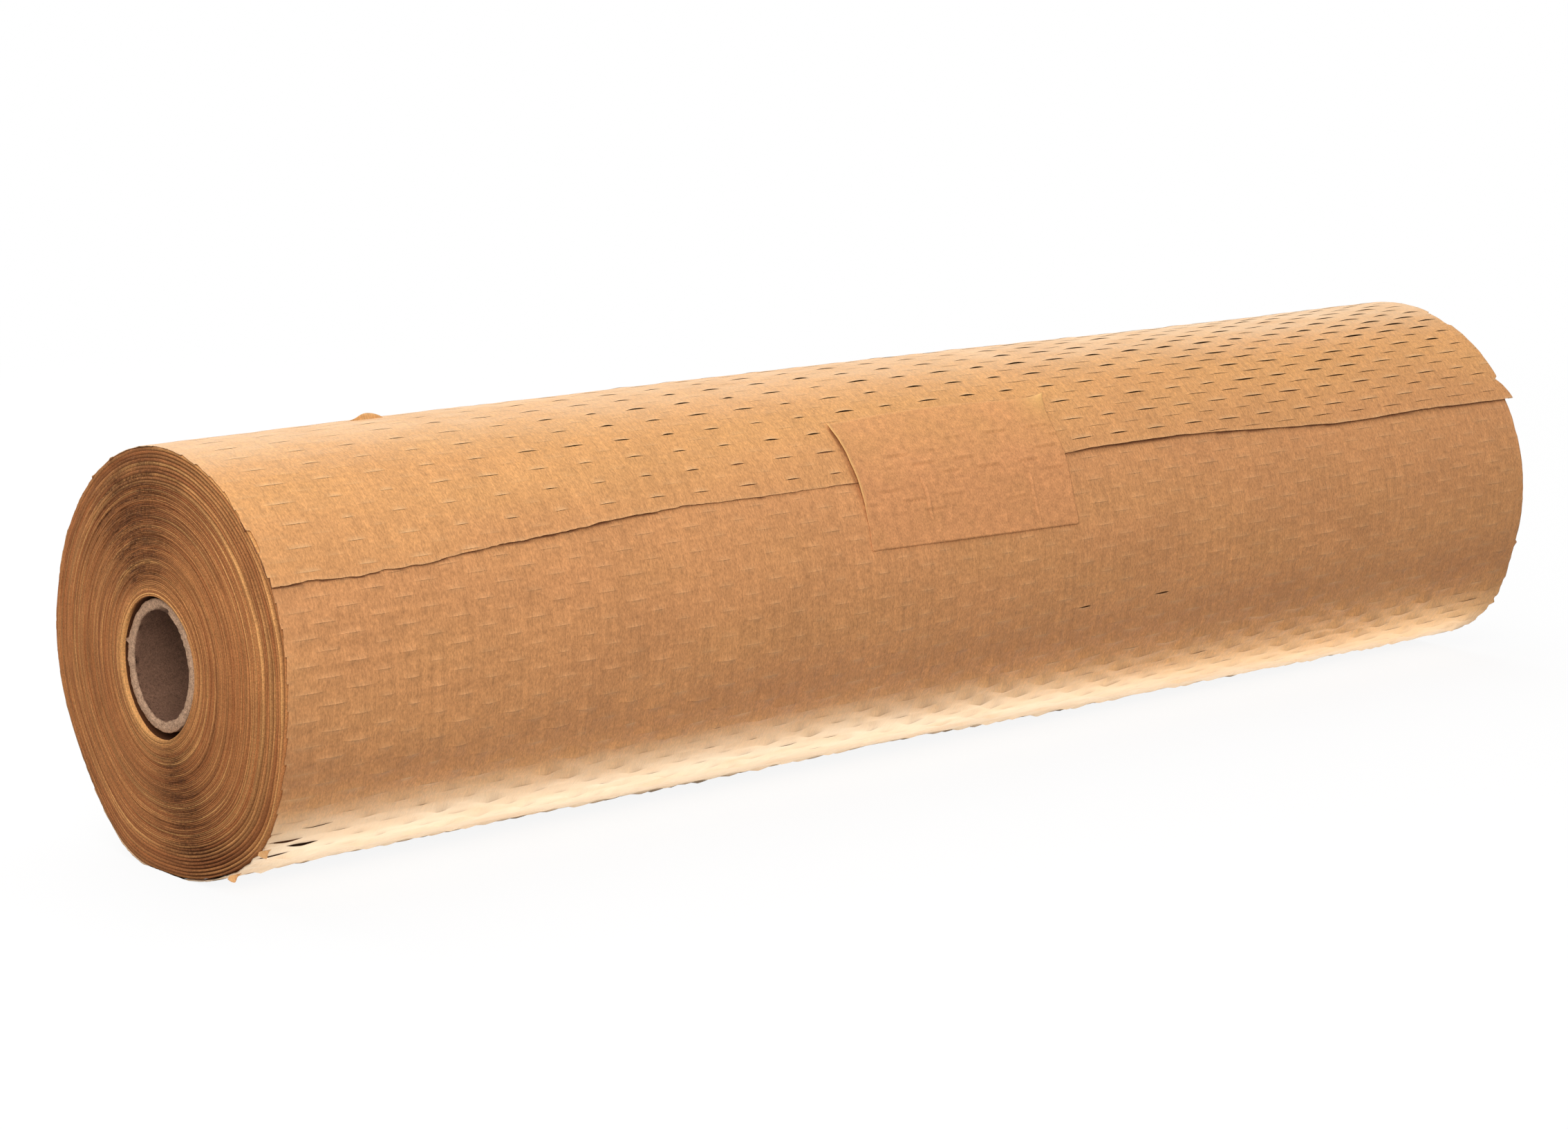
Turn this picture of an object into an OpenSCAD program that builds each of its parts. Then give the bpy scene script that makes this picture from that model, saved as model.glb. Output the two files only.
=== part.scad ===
// Honeycomb paper roll: die-cut kraft paper wound on a cardboard core.
// The roll lies on its side along X, on the flat spot that it has sunk to.
// Its free edge faces -Y, and a paper sticker holds that edge down.

/* [Roll] */
// Width of the paper web, along the roll
web_width = 500; // [300:5:800]
// Outer diameter of the wound roll
roll_d = 120; // [90:1:180]
// Turns that show on each end, each one a bundle of plies
turn_count = 12; // [6:1:16]
// How far the innermost turns stand out at the near end
telescope = 3.8; // [0:0.1:10]
// Depth of the gap between two turns, at both ends
gap_depth = 2.4; // [0.5:0.1:6]
// Width of the gap between the tight inner turns
tight_gap = 0.4; // [0.2:0.05:0.8]
// Width of the gap between the loose outer turns
loose_gap = 0.9; // [0.3:0.05:1.2]
// Outer turns that are loose
loose_turns = 4; // [1:1:5]
// Width of the flat spot under the roll
flat_w = 22; // [14:1:40]

/* [Last turn] */
// Height of the free edge over the turn below it
ply_step = 0.6; // [0.3:0.1:1.5]
// Angle of the free edge above the axis, at the ends of the roll
edge_angle = 30; // [10:1:60]
// How far the middle of the free edge is torn back
edge_rise = 6; // [0:0.5:12]

/* [Die-cut slits] */
// Length of one slit, along the roll
slit_length = 11; // [6:0.5:15]
// Opening of a slit at its middle
slit_opening = 1.1; // [0.4:0.1:2]
// Distance between two slits of one row
slit_pitch = 33.6; // [20:0.2:50]
// Distance between two rows, round the roll
row_pitch = 7.25; // [4:0.05:10]
// Rows of open slits
row_count = 8; // [1:1:8]
// Distance from the highest place of the free edge to the first row
first_row = 3; // [2:0.5:20]

/* [Core tube] */
// Inner diameter of the core
core_bore = 30; // [20:0.5:60]
// Thickness of the core's wall
core_wall = 3; // [1.5:0.1:6]
// Gap between the core and the first turn
core_clearance = 0.3; // [0.1:0.1:1]
// How far the core stands out at the near end
core_shift = 2.4; // [0:0.1:10]

/* [Closing sticker] */
// Width of the sticker, along the roll
patch_w = 85; // [40:1:150]
// Height of the sticker, round the roll
patch_h = 44; // [30:1:80]
// Thickness of the sticker
patch_t = 0.3; // [0.2:0.1:0.6]
// Gap between the sticker and the paper under it
glue_gap = 0.1; // [0.05:0.05:0.3]
// Place of the sticker's middle, along the roll
patch_x = -3.5; // [-80:0.5:80]

/* [Hidden] */

kraft = [0.76, 0.55, 0.35];
board = [0.55, 0.44, 0.36];
sticker = [0.80, 0.60, 0.40];

roll_fn = 72;
turn_fn = 36;
slit_fn = 24;
over = 1;

// The last turn lies on the turns below it, which end at under_r
roll_r = roll_d/2;
under_r = roll_r - ply_step;
axis_z = sqrt(roll_r*roll_r - flat_w*flat_w/4);
core_r = core_bore/2 + core_wall;
bore_r = core_r + core_clearance;
turn_pitch = (under_r - bore_r)/turn_count;
full_length = web_width + 4*telescope + 4*over;

// Free edge from the near end to the far end: share of the web's width, share of its rise
edge_line = [[-0.5, 0], [-0.41, 0.05], [-0.31, 0.6], [-0.22, 0.95], [-0.08, 0.8],
             [0.09, 0.85], [0.21, 0.9], [0.3, 0.35], [0.41, 0.2], [0.5, 0.3]];
edge_margin = 2;
lap_angle = edge_angle - degrees(edge_margin);
patch_rise = 0.85;
patch_angle = edge_angle + degrees(patch_rise*edge_rise);

// Angle that a length of arc takes on the outside of the roll
function degrees(arc) = arc/roll_r*180/PI;

// How far the web stands out at the near end, at this distance from the axis
function stand_out(r) = telescope*(roll_r - r)/(roll_r - bore_r);

// Lays a solid that was built round Z along the roll, with its angle 0 at -Y and 90 on top
module along_roll() {
    translate([telescope/2, 0, axis_z]) rotate([90, 0, -90]) children();
}

module full_web() {
    linear_extrude(height = full_length, center = true) children();
}

// Stands a flat shape on the roll at an angle, with its x along the roll and its y round it
module from_surface(angle) {
    rotate([0, 0, angle]) rotate([0, 90, 0]) translate([0, 0, under_r - 2*over])
        linear_extrude(height = ply_step + 4*over) children();
}

// Half of a disc above (side = 1) or below (side = -1) the line through the lap
module half_disc(r, side, fn) {
    intersection() {
        circle(r = r, $fn = fn);
        translate([-2*r, side > 0 ? 0 : -2*r]) square([4*r, 2*r]);
    }
}

module half_ring(inner_r, width, side, fn) {
    difference() {
        half_disc(inner_r + width, side, fn);
        circle(r = inner_r, $fn = fn);
    }
}

// Outline of the wound paper: two half discs, the lower one off centre, so that the outside
// comes down by one ply on its way round to the lap
module wound_outline(upper_r, grow = 0) {
    rotate(lap_angle) {
        half_disc(upper_r + grow, 1, roll_fn);
        translate([-ply_step/2, 0]) half_disc(roll_r - ply_step/2 + grow, -1, roll_fn);
    }
}

// Outline of the last turn, from the lap over the top and half way round
module last_turn_outline(grow = 0) {
    rotate(lap_angle) half_ring(under_r, ply_step + grow, 1, roll_fn);
}

// Room in front of the torn free edge, lowered by drop
module before_edge(drop = 0) {
    low = -roll_r;
    from_surface(edge_angle)
        polygon(concat(
            [[-full_length, low]],
            [for (p = edge_line) [p[0]*full_length, p[1]*edge_rise - drop]],
            [[full_length, low]]));
}

// Gap between the turns: a spiral of half rings, each one half a pitch further in
module turn_gaps() {
    rotate(lap_angle)
        for (k = [1:turn_count - 1]) {
            width = k < turn_count - loose_turns ? tight_gap : loose_gap;
            inner = bore_r + k*turn_pitch;
            half_ring(inner, width, 1, turn_fn);
            if (k > 1)
                translate([-turn_pitch/2, 0]) half_ring(inner - turn_pitch/2, width, -1, turn_fn);
        }
}

module gap_cut() {
    linear_extrude(height = web_width, center = true) turn_gaps();
}

// Room that the web takes: both ends lean, because each turn lies a little beside the next.
// Its facets line up with those of the turns.
module web_room() {
    facet = 360/turn_fn;
    radii = [0, bore_r - over, roll_r + over];
    near = [for (r = radii) [r, web_width/2 + stand_out(max(r, radii[1]))]];
    far = [for (p = near) [p[0], p[1] - web_width]];
    rotate(lap_angle - 4*facet)
        rotate_extrude($fn = turn_fn)
            polygon([near[0], near[1], near[2], far[2], far[1], far[0]]);
}

module slits() {
    last_slit = (web_width - slit_length)/2 - over;
    bow_r = (slit_length*slit_length + slit_opening*slit_opening)/(4*slit_opening);
    for (row = [0:row_count - 1]) {
        angle = edge_angle + degrees(edge_rise + first_row + row*row_pitch);
        stagger = row % 2 == 0 ? 0 : slit_pitch/2;
        for (x = [stagger:slit_pitch:last_slit], side = x == 0 ? [1] : [-1, 1])
            translate([0, 0, side*x])
                from_surface(angle)
                    intersection_for(up = [-1, 1])
                        translate([0, up*(bow_r - slit_opening/2)]) circle(r = bow_r, $fn = slit_fn);
    }
}

module core_tube() {
    color(board)
        along_roll()
            translate([0, 0, core_shift - web_width/2])
                difference() {
                    cylinder(h = web_width, r = core_r, $fn = roll_fn);
                    translate([0, 0, -over])
                        cylinder(h = web_width + 2*over, d = core_bore, $fn = roll_fn);
                }
}

module paper_roll() {
    color(kraft)
        difference() {
            along_roll()
                difference() {
                    intersection() {
                        full_web() wound_outline(roll_r);
                        web_room();
                    }
                    cylinder(h = full_length, r = bore_r, center = true, $fn = roll_fn);
                    translate([0, 0, web_width - gap_depth]) gap_cut();
                    translate([0, 0, telescope + gap_depth - web_width]) gap_cut();
                    intersection() {
                        full_web() last_turn_outline(over);
                        union() {
                            before_edge();
                            slits();
                        }
                    }
                }
            translate([-web_width, -roll_d, -roll_d]) cube([2*web_width, 2*roll_d, roll_d]);
        }
}

// What the sticker and a margin round it cover of an outline
module covered(margin) {
    half_angle = degrees(patch_h/2 + margin);
    reach = 2*roll_r;
    translate([0, 0, -patch_x])
        linear_extrude(height = patch_w + 2*margin, center = true)
            intersection() {
                children();
                rotate(patch_angle)
                    polygon([[0, 0],
                             [reach*cos(half_angle), -reach*sin(half_angle)],
                             [reach*cos(half_angle), reach*sin(half_angle)]]);
            }
}

// The paper under the sticker, grown by lift: the turn below the free edge and the last turn
module lifted_paper(lift, margin = 0) {
    covered(margin) wound_outline(under_r, lift);
    difference() {
        covered(margin) last_turn_outline(lift);
        before_edge(lift);
    }
}

module closing_patch() {
    color(sticker)
        along_roll()
            difference() {
                lifted_paper(glue_gap + patch_t);
                lifted_paper(glue_gap, over);
            }
}

core_tube();
paper_roll();
closing_patch();
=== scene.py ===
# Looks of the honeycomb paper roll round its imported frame. Metres: X runs along the roll, -Y faces
# its free edge. Places round the roll are arcs, measured upwards from the line that faces -Y.
import math
from types import SimpleNamespace

import bpy
import numpy as np
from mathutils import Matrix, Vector


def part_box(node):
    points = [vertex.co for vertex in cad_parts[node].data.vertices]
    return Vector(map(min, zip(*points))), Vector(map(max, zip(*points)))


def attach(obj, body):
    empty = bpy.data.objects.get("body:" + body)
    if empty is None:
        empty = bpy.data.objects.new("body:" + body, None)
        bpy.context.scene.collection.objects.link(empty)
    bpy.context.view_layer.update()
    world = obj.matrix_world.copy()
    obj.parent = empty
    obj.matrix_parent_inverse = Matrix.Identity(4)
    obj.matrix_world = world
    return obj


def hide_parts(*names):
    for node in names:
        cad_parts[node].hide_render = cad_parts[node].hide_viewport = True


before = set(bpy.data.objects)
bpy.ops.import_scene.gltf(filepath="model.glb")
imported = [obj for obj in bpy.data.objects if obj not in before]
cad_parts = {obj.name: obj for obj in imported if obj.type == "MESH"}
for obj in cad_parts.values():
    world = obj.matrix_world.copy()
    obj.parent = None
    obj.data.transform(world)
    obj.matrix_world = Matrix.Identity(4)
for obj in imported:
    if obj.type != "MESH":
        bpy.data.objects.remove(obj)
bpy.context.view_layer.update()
print("frame loaded")

rollLow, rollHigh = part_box("paper_roll")
coreLow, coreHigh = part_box("core_tube")
mm = 0.001
roll = {
    "width": 0.5,  # width of the web
    "plyStep": 0.0006,  # how far the web comes in on one turn
    "plyEdge": 0.00022,  # thickness of the cut paper edge
    "coreGap": 0.0003,  # gap between the core and the first turn
    # how far the near rim stands out: degrees, mm
    "nearLean": [(-180, 0), (-110, 0), (-90, -0.3), (-75, -0.5), (-58, -0.3), (-42, 0), (-22, 0.3), (0, 0.3),
                 (11, -0.3), (23, -0.4), (35, -0.35), (50, -0.1), (65, 0), (180, 0)],
    # swellings of the soft paper: degrees, spread, height
    "nearDents": [(-112, 15, 0.0021), (-146, 16, -0.0012)],
    "dentReach": 0.11,  # how far these reach along the roll
    "belly": [(-40, 17, 0.0026)],
    "farBelly": [(-54, 15, 0.0019)],  # grows from the middle of the roll to its far end
    "sagFrom": 20,  # degrees from the line that faces -Y to the full sag
    "coreCrush": (0.075, 0.02),  # share that the core is narrower, and taller, than a circle
    "crushFades": (0.019, 0.038),  # distances from the axis between which this crush fades
    "lowest": 0.00002,  # height of the lowest paper over the floor
    "seed": 20,
    # noises of every piece: mean, swing, cell along the roll, cell round it, seed
    "noises": {"sag": (0, 0.0007, 0.16, 72, 1)},
}
axisHeight = (coreLow.z + coreHigh.z) / 2
radius = rollHigh.z - axisHeight
farX = rollHigh.x
nearX = farX - roll["width"]
telescope = rollHigh.x - rollLow.x - roll["width"]
coreRadius = (coreHigh.z - coreLow.z) / 2
boreRadius = coreRadius + roll["coreGap"]
turnArc = 2 * math.pi * radius


# Numbers for shapes

def eased(share):
    return share * share * (3 - 2 * share)


def smoothNoise(u, v, cellU, cellV, seed):
    # heights from -1 to 1 on a lattice of this cell size, eased between its points
    size = 256
    lattice = np.random.default_rng(roll["seed"] * 1000 + seed).uniform(-1, 1, (size, size))
    u, v = np.broadcast_arrays(u / cellU, v / cellV)
    column, row = np.floor(u).astype(int), np.floor(v).astype(int)
    across, up = eased(u - column), eased(v - row)

    def onLine(line):
        left, right = lattice[column % size, line % size], lattice[(column + 1) % size, line % size]
        return left * (1 - across) + right * across

    return onLine(row) * (1 - up) + onLine(row + 1) * up


def noiseOf(piece, name, u, v=0, seed=0):
    mean, swing, cellU, cellV, ownSeed = piece["noises"][name]
    return mean + swing * smoothNoise(u, v, cellU, cellV, ownSeed + seed)


def ease(value, start, end):
    return eased(np.clip((value - start) / (end - start), 0, 1))


def fading(distance, height, reach):
    return height * np.exp(-distance / reach)


def lessened(value, share, start, end):
    return 1 - share * ease(value, start, end)


def plateau(value, start, full, fall, end):
    return ease(value, start, full) * (1 - ease(value, fall, end))


def hump(value, middle, spread):
    return np.exp(-((value - middle) / spread) ** 2)


def humps(value, table):
    # the sum of humps of (middle, spread, height)
    return sum(height * hump(value, middle, spread) for middle, spread, height in table)


def wrapped(angle):
    # degrees round the roll, from -180 to 180
    return (angle + 180) % 360 - 180


def humpRound(degrees, middle, spread):
    return hump(wrapped(degrees - middle), 0, spread)


def byTable(value, table):
    # a value read off a short table of (place, value) pairs
    places, values = zip(*table)
    return np.interp(value, places, values)


def onRoll(x, arc, distance):
    # points at this distance from the roll's axis, with its dents, and no lower than the floor
    angle = arc / radius
    degrees = wrapped(np.degrees(angle))
    fromNear = np.clip((x - nearX) / roll["dentReach"], 0, None)
    dent = humps(degrees, roll["nearDents"]) * np.exp(-fromNear ** 2)
    belly = humps(degrees, roll["belly"]) + humps(degrees, roll["farBelly"]) * ease(x, 0, farX)
    sag = noiseOf(roll, "sag", x, degrees) * ease(degrees ** 2, 0, roll["sagFrom"] ** 2)
    crushed = 1 - ease(distance, *roll["crushFades"])
    narrower, taller = roll["coreCrush"]
    outwards = (distance / radius) ** 4
    distance = distance + outwards * (dent + belly + sag)
    sideways = -distance * np.cos(angle) * (1 - narrower * crushed)
    height = axisHeight + distance * np.sin(angle) * (1 + taller * crushed)
    return np.stack(np.broadcast_arrays(x, sideways, np.maximum(height, roll["lowest"])), -1)


# Meshes

def gridFaces(rows, columns, start=0, closed=False):
    # quads between neighbouring rows and columns of a grid of points
    index = start + np.arange(rows * columns).reshape(rows, columns)
    if closed:
        index = np.concatenate([index, index[:, :1]], 1)
    return np.stack([index[:-1, :-1], index[:-1, 1:], index[1:, 1:], index[1:, :-1]], -1).reshape(-1, 4)


def stripFaces(first, second):
    # quads between two rows of point numbers
    return np.stack([first[:-1], first[1:], second[1:], second[:-1]], -1)


def wallFaces(front, back):
    return np.stack([front[:-1], back[:-1], back[1:], front[1:]], -1)


def makePiece(name, points, faces, material, replaced, unrolled=None, layers=None, normals=None):
    # a quad with two of its points in one place is a triangle, and with three it is nothing
    outlines = [tuple(dict.fromkeys(face)) for face in faces.tolist()]
    outlines = [outline for outline in outlines if len(outline) > 2]
    mesh = bpy.data.meshes.new(name)
    mesh.from_pydata(points.reshape(-1, 3).tolist(), [], outlines)
    mesh.shade_smooth()
    corners = np.zeros(len(mesh.loops), np.int32)
    mesh.loops.foreach_get("vertex_index", corners)
    if unrolled is not None:
        uvLayer = mesh.uv_layers.new(name="unrolled")
        uvLayer.uv.foreach_set("vector", unrolled.reshape(-1, 2)[corners].astype(np.float32).ravel())
    for layer, values in (layers or {}).items():
        attribute = mesh.attributes.new(layer, "FLOAT", "POINT")
        attribute.data.foreach_set("value", np.asarray(values, np.float32).ravel())
    mesh.materials.append(material)
    if normals is not None:
        mesh.normals_split_custom_set_from_vertices(normals.tolist())
    piece = bpy.data.objects.new(name, mesh)
    bpy.context.scene.collection.objects.link(piece)
    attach(piece, "root")
    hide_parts(replaced)
    print(f"{name}: {sum(len(outline) - 2 for outline in outlines)} triangles")


def vertexNormals(points, faces):
    # area-weighted normals of the points of quads
    first = points[faces[:, 2]] - points[faces[:, 0]]
    second = points[faces[:, 3]] - points[faces[:, 1]]
    across = np.cross(first, second)
    total = np.zeros_like(points)
    for corner in range(4):
        np.add.at(total, faces[:, corner], across)
    smallest = 1e-12
    return total / np.maximum(np.linalg.norm(total, axis=1, keepdims=True), smallest)


# Materials

def emptyTree(owner):
    owner.use_nodes = True
    owner.node_tree.nodes.clear()
    return owner.node_tree


def startMaterial(name):
    material = bpy.data.materials.new(name)
    tree = emptyTree(material)
    shader = tree.nodes.new("ShaderNodeBsdfPrincipled")
    output = tree.nodes.new("ShaderNodeOutputMaterial")
    tree.links.new(shader.outputs[0], output.inputs["Surface"])
    return material, tree, shader


def feed(tree, socket, value):
    # a number, a colour, or what another node gives
    if isinstance(value, (int, float)):
        socket.default_value = value
    elif isinstance(value, tuple):
        socket.default_value = (*value, 1)
    else:
        tree.links.new(value, socket)


def readLayer(tree, name):
    node = tree.nodes.new("ShaderNodeAttribute")
    node.attribute_name = name
    return node.outputs["Fac"]


def unrolledPlace(tree):
    node = tree.nodes.new("ShaderNodeUVMap")
    node.uv_map = "unrolled"
    return node.outputs[0]


def objectPlace(tree):
    return tree.nodes.new("ShaderNodeTexCoord").outputs["Object"]


def noiseAt(tree, place, scale, detail, rough=0.55, stretch=None):
    if stretch:
        mapping = tree.nodes.new("ShaderNodeMapping")
        mapping.inputs["Scale"].default_value = stretch
        tree.links.new(place, mapping.inputs["Vector"])
        place = mapping.outputs[0]
    node = tree.nodes.new("ShaderNodeTexNoise")
    node.inputs["Scale"].default_value = scale
    node.inputs["Detail"].default_value = detail
    node.inputs["Roughness"].default_value = rough
    tree.links.new(place, node.inputs["Vector"])
    return node.outputs["Fac"]


def noisesOf(tree, place, look):
    return {name: noiseAt(tree, place, *noise) for name, noise in look["noises"].items()}


def fitRange(tree, value, fromLow, fromHigh, toLow, toHigh):
    node = tree.nodes.new("ShaderNodeMapRange")
    ends = {"From Min": fromLow, "From Max": fromHigh, "To Min": toLow, "To Max": toHigh}
    for socket, number in ends.items():
        node.inputs[socket].default_value = number
    tree.links.new(value, node.inputs["Value"])
    return node.outputs[0]


def combine(tree, operation, first, second):
    node = tree.nodes.new("ShaderNodeMath")
    node.operation = operation
    feed(tree, node.inputs[0], first)
    feed(tree, node.inputs[1], second)
    return node.outputs[0]


def mixColour(tree, factor, first, second, blend="MIX"):
    node = tree.nodes.new("ShaderNodeMix")
    node.data_type = "RGBA"
    node.blend_type = blend
    for socket, value in ((0, factor), (6, first), (7, second)):
        feed(tree, node.inputs[socket], value)
    return node.outputs[2]


def shaded(tree, colour, noises, look):
    # colour made darker or lighter by noises round 0.5
    for name, (dark, light) in look["levels"].items():
        level = fitRange(tree, noises[name], 0.25, 0.75, dark, light)
        colour = mixColour(tree, 1.0, colour, level, "MULTIPLY")
    return colour


def finishShader(tree, shader, colour, noises, look):
    tree.links.new(colour, shader.inputs["Base Color"])
    rough = look["rough"]
    if isinstance(rough, tuple):
        rough = fitRange(tree, noises["mottle"], 0.3, 0.7, *rough)
    feed(tree, shader.inputs["Roughness"], rough)
    shader.inputs["Specular IOR Level"].default_value = look["gloss"]
    below = None
    for name, depth in look["depths"].items():
        node = tree.nodes.new("ShaderNodeBump")
        node.inputs["Distance"].default_value = depth
        tree.links.new(noises[name], node.inputs["Height"])
        if below is not None:
            tree.links.new(below, node.inputs["Normal"])
        below = node.outputs[0]
    tree.links.new(below, shader.inputs["Normal"])


# In each look, a noise is its scale, detail, roughness and stretch, a level is the darkest and the
# lightest share of the colour, and a depth is the height of a bump in metres.

kraft = {
    # golden is the paper painted as lit over the top, rosy the same paper painted in the front's shade
    "golden": (0.640, 0.322, 0.114),
    "rosy": (0.610, 0.277, 0.110),
    # pale fibre for wear and painted highlights, a painted highlight colour, and a painted shade colour
    "paleFibreAndHighlight": (0.860, 0.560, 0.290),
    "paintedHighlight": (0.860, 0.660, 0.450),
    "shade": (0.210, 0.075, 0.030),
    "noises": {"mottle": (420, 4, 0.6), "fibre": (1, 4, 0.65, (1900, 850, 1)),
               "wrinkle": (1, 3, 0.6, (520, 60, 1)), "patches": (34, 3)},
    "levels": {"patches": (0.93, 1.06), "mottle": (0.86, 1.13), "fibre": (0.68, 1.33),
               "wrinkle": (0.87, 1.13)},
    "depths": {"wrinkle": 0.00034, "mottle": 0.00016, "fibre": 0.00008},
    "rough": (0.58, 0.74),
    "gloss": 0.18,
    "sheen": 0.04, "sheenRough": 0.5,
}


def kraftMaterial():
    material, tree, shader = startMaterial("kraft_paper_web")
    noises = noisesOf(tree, unrolledPlace(tree), kraft)
    # painted light: golden over the lit top, rosier and darker in the front's shade, with random tone
    base = mixColour(tree, readLayer(tree, "frontShadeAndTone"), kraft["golden"], kraft["rosy"])
    base = shaded(tree, base, noises, kraft)
    # wear with painted highlights, painted highlights, and painted shade over the paper's colour
    for layer, colour in (("wearAndHighlight", "paleFibreAndHighlight"), ("paintedHighlight", "paintedHighlight"), ("under", "shade")):
        base = mixColour(tree, readLayer(tree, layer), base, kraft[colour])
    finishShader(tree, shader, base, noises, kraft)
    shader.inputs["Sheen Weight"].default_value = kraft["sheen"]
    shader.inputs["Sheen Roughness"].default_value = kraft["sheenRough"]
    return material


shadedBelowPaper = {
    # the turn below is the same kraft, painted dark for the shade under the last turn, with random blotches
    "shade": (0.110, 0.046, 0.019),
    "lighter": (0.190, 0.084, 0.036),
    "noises": {"blotches": (300, 3)},
    "depths": {"blotches": 0.0002},
    "rough": 0.9,
    "gloss": 0.1,
}


def shadedBelowMaterial():
    material, tree, shader = startMaterial("kraft_below_painted_shade")
    noises = noisesOf(tree, objectPlace(tree), shadedBelowPaper)
    colour = mixColour(tree, noises["blotches"], shadedBelowPaper["shade"], shadedBelowPaper["lighter"])
    finishShader(tree, shader, colour, noises, shadedBelowPaper)
    return material


plyEdges = {
    # brown and golden turn edges, golden partly painted light; dark is painted shade in the gaps, behind the
    # outer turn and in two wedges
    "brown": (0.480, 0.172, 0.056),
    "dark": (0.090, 0.030, 0.010),
    "golden": (0.820, 0.405, 0.140),
    "noises": {"fuzz": (2200, 3, 0.65), "blotches": (130, 3), "wedgeShadeMottle": (1300, 3, 0.7)},
    "wedgeShadeMottleRange": (0.36, 0.62, 0.45, 1),
    "levels": {"fuzz": (0.58, 1.42), "blotches": (0.88, 1.12)},
    "depths": {"fuzz": 0.00016},
    "rough": 0.85,
    "gloss": 0.2,
}


def plyEdgeMaterial():
    material, tree, shader = startMaterial("kraft_paper_ply_edges")
    noises = noisesOf(tree, objectPlace(tree), plyEdges)
    colour = mixColour(tree, readLayer(tree, "bright"), plyEdges["brown"], plyEdges["golden"])
    # painted shade at the bottom of the gaps between turns and behind the outer turn, and random darker edges
    colour = mixColour(tree, readLayer(tree, "gap"), colour, plyEdges["dark"])
    # dark wedges painted as shade, mottled
    wedgeShadeMottle = fitRange(tree, noises["wedgeShadeMottle"], *plyEdges["wedgeShadeMottleRange"])
    crushed = combine(tree, "MULTIPLY", readLayer(tree, "crushed"), wedgeShadeMottle)
    colour = mixColour(tree, crushed, colour, plyEdges["dark"])
    colour = shaded(tree, colour, noises, plyEdges)
    finishShader(tree, shader, colour, noises, plyEdges)
    return material


board = {
    "rim": (0.600, 0.375, 0.240),
    "bore": (0.225, 0.118, 0.074),
    "speck": (0.075, 0.040, 0.026),
    "noises": {"fuzz": (1500, 4, 0.7), "specks": (2600, 3, 0.7), "bands": (1, 2, 0.55, (30, 500, 500))},
    "speckRange": (0.50, 0.66, 0, 0.6),
    "levels": {"fuzz": (0.62, 1.38), "bands": (0.92, 1.08)},
    "depths": {"specks": 0.0002, "fuzz": 0.00025},
    "rough": 0.9,
    "gloss": 0.15,
}


def boardMaterial():
    material, tree, shader = startMaterial("core_board_grey")
    noises = noisesOf(tree, objectPlace(tree), board)
    colour = mixColour(tree, readLayer(tree, "inside"), board["rim"], board["bore"])
    speckle = fitRange(tree, noises["specks"], *board["speckRange"])
    colour = mixColour(tree, speckle, colour, board["speck"])
    colour = shaded(tree, colour, noises, board)
    finishShader(tree, shader, colour, noises, board)
    return material


stickerPaper = {
    # light is the sticker painted as lit towards the top, rosy as shaded towards the front; edge is a painted
    # highlight on its lifted edges and curled corner
    "light": (0.630, 0.300, 0.112),
    "rosy": (0.635, 0.283, 0.114),
    "edge": (0.840, 0.500, 0.180),
    "noises": {"mottle": (380, 4, 0.6), "fibre": (1, 3, 0.55, (2300, 1300, 1)), "patches": (60, 3),
               "creases": (1, 3, 0.55, (300, 60, 1))},
    "blushRange": (0.3, 0.7, -0.3, 0.3),  # what the patches add to the rosy share
    "levels": {"patches": (0.95, 1.05), "mottle": (0.78, 1.20), "fibre": (0.76, 1.24)},
    "depths": {"creases": 0.0004, "mottle": 0.00013, "fibre": 0.00007},
    "rough": (0.58, 0.72),
    "gloss": 0.2,
}


def stickerMaterial():
    material, tree, shader = startMaterial("sticker_kraft")
    noises = noisesOf(tree, unrolledPlace(tree), stickerPaper)
    # random patches of tone, and the lower part painted rosier as the front's shade
    patches = fitRange(tree, noises["patches"], *stickerPaper["blushRange"])
    frontShadeAndTone = combine(tree, "ADD", readLayer(tree, "frontShadeAndTone"), patches)
    frontShadeAndTone = fitRange(tree, frontShadeAndTone, 0, 1, 0, 1)
    colour = mixColour(tree, frontShadeAndTone, stickerPaper["light"], stickerPaper["rosy"])
    colour = shaded(tree, colour, noises, stickerPaper)
    # painted highlights on the lifted edges and the curled corner
    colour = mixColour(tree, readLayer(tree, "wearAndHighlight"), colour, stickerPaper["edge"])
    finishShader(tree, shader, colour, noises, stickerPaper)
    return material


kraftPaper = kraftMaterial()
shadedBelowKraft = shadedBelowMaterial()
plyEdgePaper = plyEdgeMaterial()
coreBoard = boardMaterial()
stickerKraft = stickerMaterial()
print("materials made")


# The web: the last turn from its torn free edge right round the roll and in under that edge

seamLine = [  # the torn free edge: place along the roll in mm, degrees above the camera-facing line
    (-249, 29.2), (-237, 29.4), (-229, 29.1), (-221, 28.8), (-213, 29.4), (-205, 29.3), (-197, 29.7),
    (-189, 30.6), (-181, 30.9), (-173, 31.5), (-165, 31.7), (-157, 32.1), (-149, 32.5), (-141, 33.3),
    (-125, 34.3), (-109, 34.9), (-85, 34.5), (-53, 34.6), (45, 34.5), (53, 35.0), (93, 35.1), (109, 34.5),
    (117, 34.1), (133, 33.2), (149, 32.4), (157, 32.1), (165, 31.5), (181, 31.5), (197, 31.9), (213, 32.0),
    (229, 31.6), (250, 31.5),
]

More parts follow.
